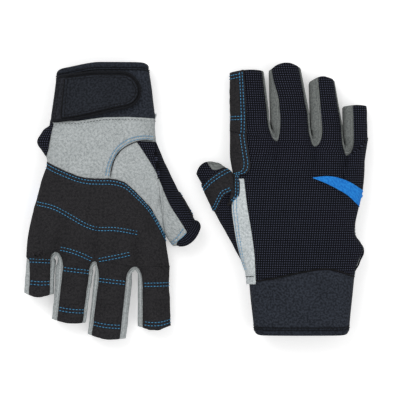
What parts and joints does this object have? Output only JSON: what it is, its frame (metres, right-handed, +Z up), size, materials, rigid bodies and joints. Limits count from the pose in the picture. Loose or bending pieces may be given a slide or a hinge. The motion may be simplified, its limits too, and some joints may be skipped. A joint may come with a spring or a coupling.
{
  "type": "sailing gloves",
  "caption": "Pair of short-finger sailing gloves with mesh backs, two-tone suede palms, side gussets, neoprene cuffs and folding wrist straps.",
  "frame": {"origin": "on the table under the middle of the pair", "axes": "+Z up from the table, +Y from the left glove's fingertips towards its cuff, +X from the left glove towards the right glove"},
  "size_m": [0.2492, 0.1997, 0.0275],
  "materials": {
    "neoprene": "smooth matt stretch neoprene",
    "hem": "folded and stitched neoprene hem",
    "hook_and_loop": "black hook and loop pile",
    "mesh": "coarse dark navy stretch mesh",
    "accent": "bright blue woven stretch cloth",
    "grey_suede": "pale grey synthetic suede, mottled",
    "black_suede": "black synthetic suede with blue double stitching",
    "strap": "neoprene strap with a stitched edge"
  },
  "bodies": {
    "left_hand": {"left_cuff_band": "neoprene", "left_cuff_hem": "hem", "left_loop_pad": "hook_and_loop", "left_back_panel": "mesh", "left_accent_panel": "accent", "left_side_stripe": "grey_suede", "left_palm_panel": "grey_suede", "left_palm_reinforcement": "black_suede", "left_crotch_gussets": "grey_suede"},
    "left_strap": {"left_wrist_strap": "strap", "left_strap_patch": "strap", "left_hook_pad": "hook_and_loop"},
    "left_thumb": {"left_thumb_front": "grey_suede", "left_thumb_back": "mesh", "left_thumb_patch": "black_suede"},
    "left_little_finger": {"left_little_front": "black_suede", "left_little_back": "mesh", "left_little_sides": "grey_suede"},
    "left_ring_finger": {"left_ring_front": "black_suede", "left_ring_back": "mesh", "left_ring_sides": "grey_suede"},
    "left_middle_finger": {"left_middle_front": "black_suede", "left_middle_back": "mesh", "left_middle_sides": "grey_suede"},
    "left_index_finger": {"left_index_front": "black_suede", "left_index_back": "mesh", "left_index_sides": "grey_suede"},
    "right_hand": {"right_cuff_band": "neoprene", "right_cuff_hem": "hem", "right_loop_pad": "hook_and_loop", "right_back_panel": "mesh", "right_accent_panel": "accent", "right_side_stripe": "grey_suede", "right_palm_panel": "grey_suede", "right_palm_reinforcement": "black_suede", "right_crotch_gussets": "grey_suede"},
    "right_strap": {"right_wrist_strap": "strap", "right_strap_patch": "strap", "right_hook_pad": "hook_and_loop"},
    "right_thumb": {"right_thumb_front": "grey_suede", "right_thumb_back": "mesh", "right_thumb_patch": "black_suede"},
    "right_little_finger": {"right_little_front": "black_suede", "right_little_back": "mesh", "right_little_sides": "grey_suede"},
    "right_ring_finger": {"right_ring_front": "black_suede", "right_ring_back": "mesh", "right_ring_sides": "grey_suede"},
    "right_middle_finger": {"right_middle_front": "black_suede", "right_middle_back": "mesh", "right_middle_sides": "grey_suede"},
    "right_index_finger": {"right_index_front": "black_suede", "right_index_back": "mesh", "right_index_sides": "grey_suede"}
  },
  "joints": [
    {"name": "left_strap_opening", "type": "hinge", "parent": "left_hand", "child": "left_strap", "pos_m": [-0.10141, 0.074, 0.01801], "axis": [-0.0758, -0.9971, 0.0088], "range_deg": [0, 130]},
    {"name": "left_thumb_flex", "type": "hinge", "parent": "left_hand", "child": "left_thumb", "pos_m": [-0.0252, 0.0117, 0.0234], "axis": [0.1151, -0.9934, 0], "range_deg": [0, 50]},
    {"name": "left_little_flex", "type": "hinge", "parent": "left_hand", "child": "left_little_finger", "pos_m": [-0.1126, -0.0435, 0.0164], "axis": [-0.9989, 0.0458, 0], "range_deg": [0, 80]},
    {"name": "left_ring_flex", "type": "hinge", "parent": "left_hand", "child": "left_ring_finger", "pos_m": [-0.0872, -0.0501, 0.0164], "axis": [-0.9928, 0.12, 0], "range_deg": [0, 80]},
    {"name": "left_middle_flex", "type": "hinge", "parent": "left_hand", "child": "left_middle_finger", "pos_m": [-0.0595, -0.0581, 0.0164], "axis": [-0.9932, 0.1165, 0], "range_deg": [0, 80]},
    {"name": "left_index_flex", "type": "hinge", "parent": "left_hand", "child": "left_index_finger", "pos_m": [-0.0298, -0.0605, 0.0164], "axis": [-1, -0.0032, 0], "range_deg": [0, 80]},
    {"name": "right_glove_lift", "type": "slide", "parent": "left_hand", "child": "right_hand", "axis": [0, 0, 1], "range_m": [0, 0.15]},
    {"name": "right_strap_opening", "type": "hinge", "parent": "right_hand", "child": "right_strap", "pos_m": [0.11087, -0.0725, 0.00938], "axis": [-0.0732, -0.9973, -0.0013], "range_deg": [0, 130]},
    {"name": "right_thumb_flex", "type": "hinge", "parent": "right_hand", "child": "right_thumb", "pos_m": [0.0297, -0.0147, 0.0034], "axis": [0.1005, -0.9949, 0], "range_deg": [0, 50]},
    {"name": "right_little_flex", "type": "hinge", "parent": "right_hand", "child": "right_little_finger", "pos_m": [0.1158, 0.045, 0], "axis": [-0.9996, -0.0292, 0], "range_deg": [0, 80]},
    {"name": "right_ring_flex", "type": "hinge", "parent": "right_hand", "child": "right_ring_finger", "pos_m": [0.0944, 0.0516, 0], "axis": [-0.9946, -0.104, 0], "range_deg": [0, 80]},
    {"name": "right_middle_flex", "type": "hinge", "parent": "right_hand", "child": "right_middle_finger", "pos_m": [0.068, 0.0596, 0], "axis": [-0.9935, -0.1139, 0], "range_deg": [0, 80]},
    {"name": "right_index_flex", "type": "hinge", "parent": "right_hand", "child": "right_index_finger", "pos_m": [0.0388, 0.062, 0], "axis": [-0.9977, -0.0677, 0], "range_deg": [0, 80]}
  ]
}
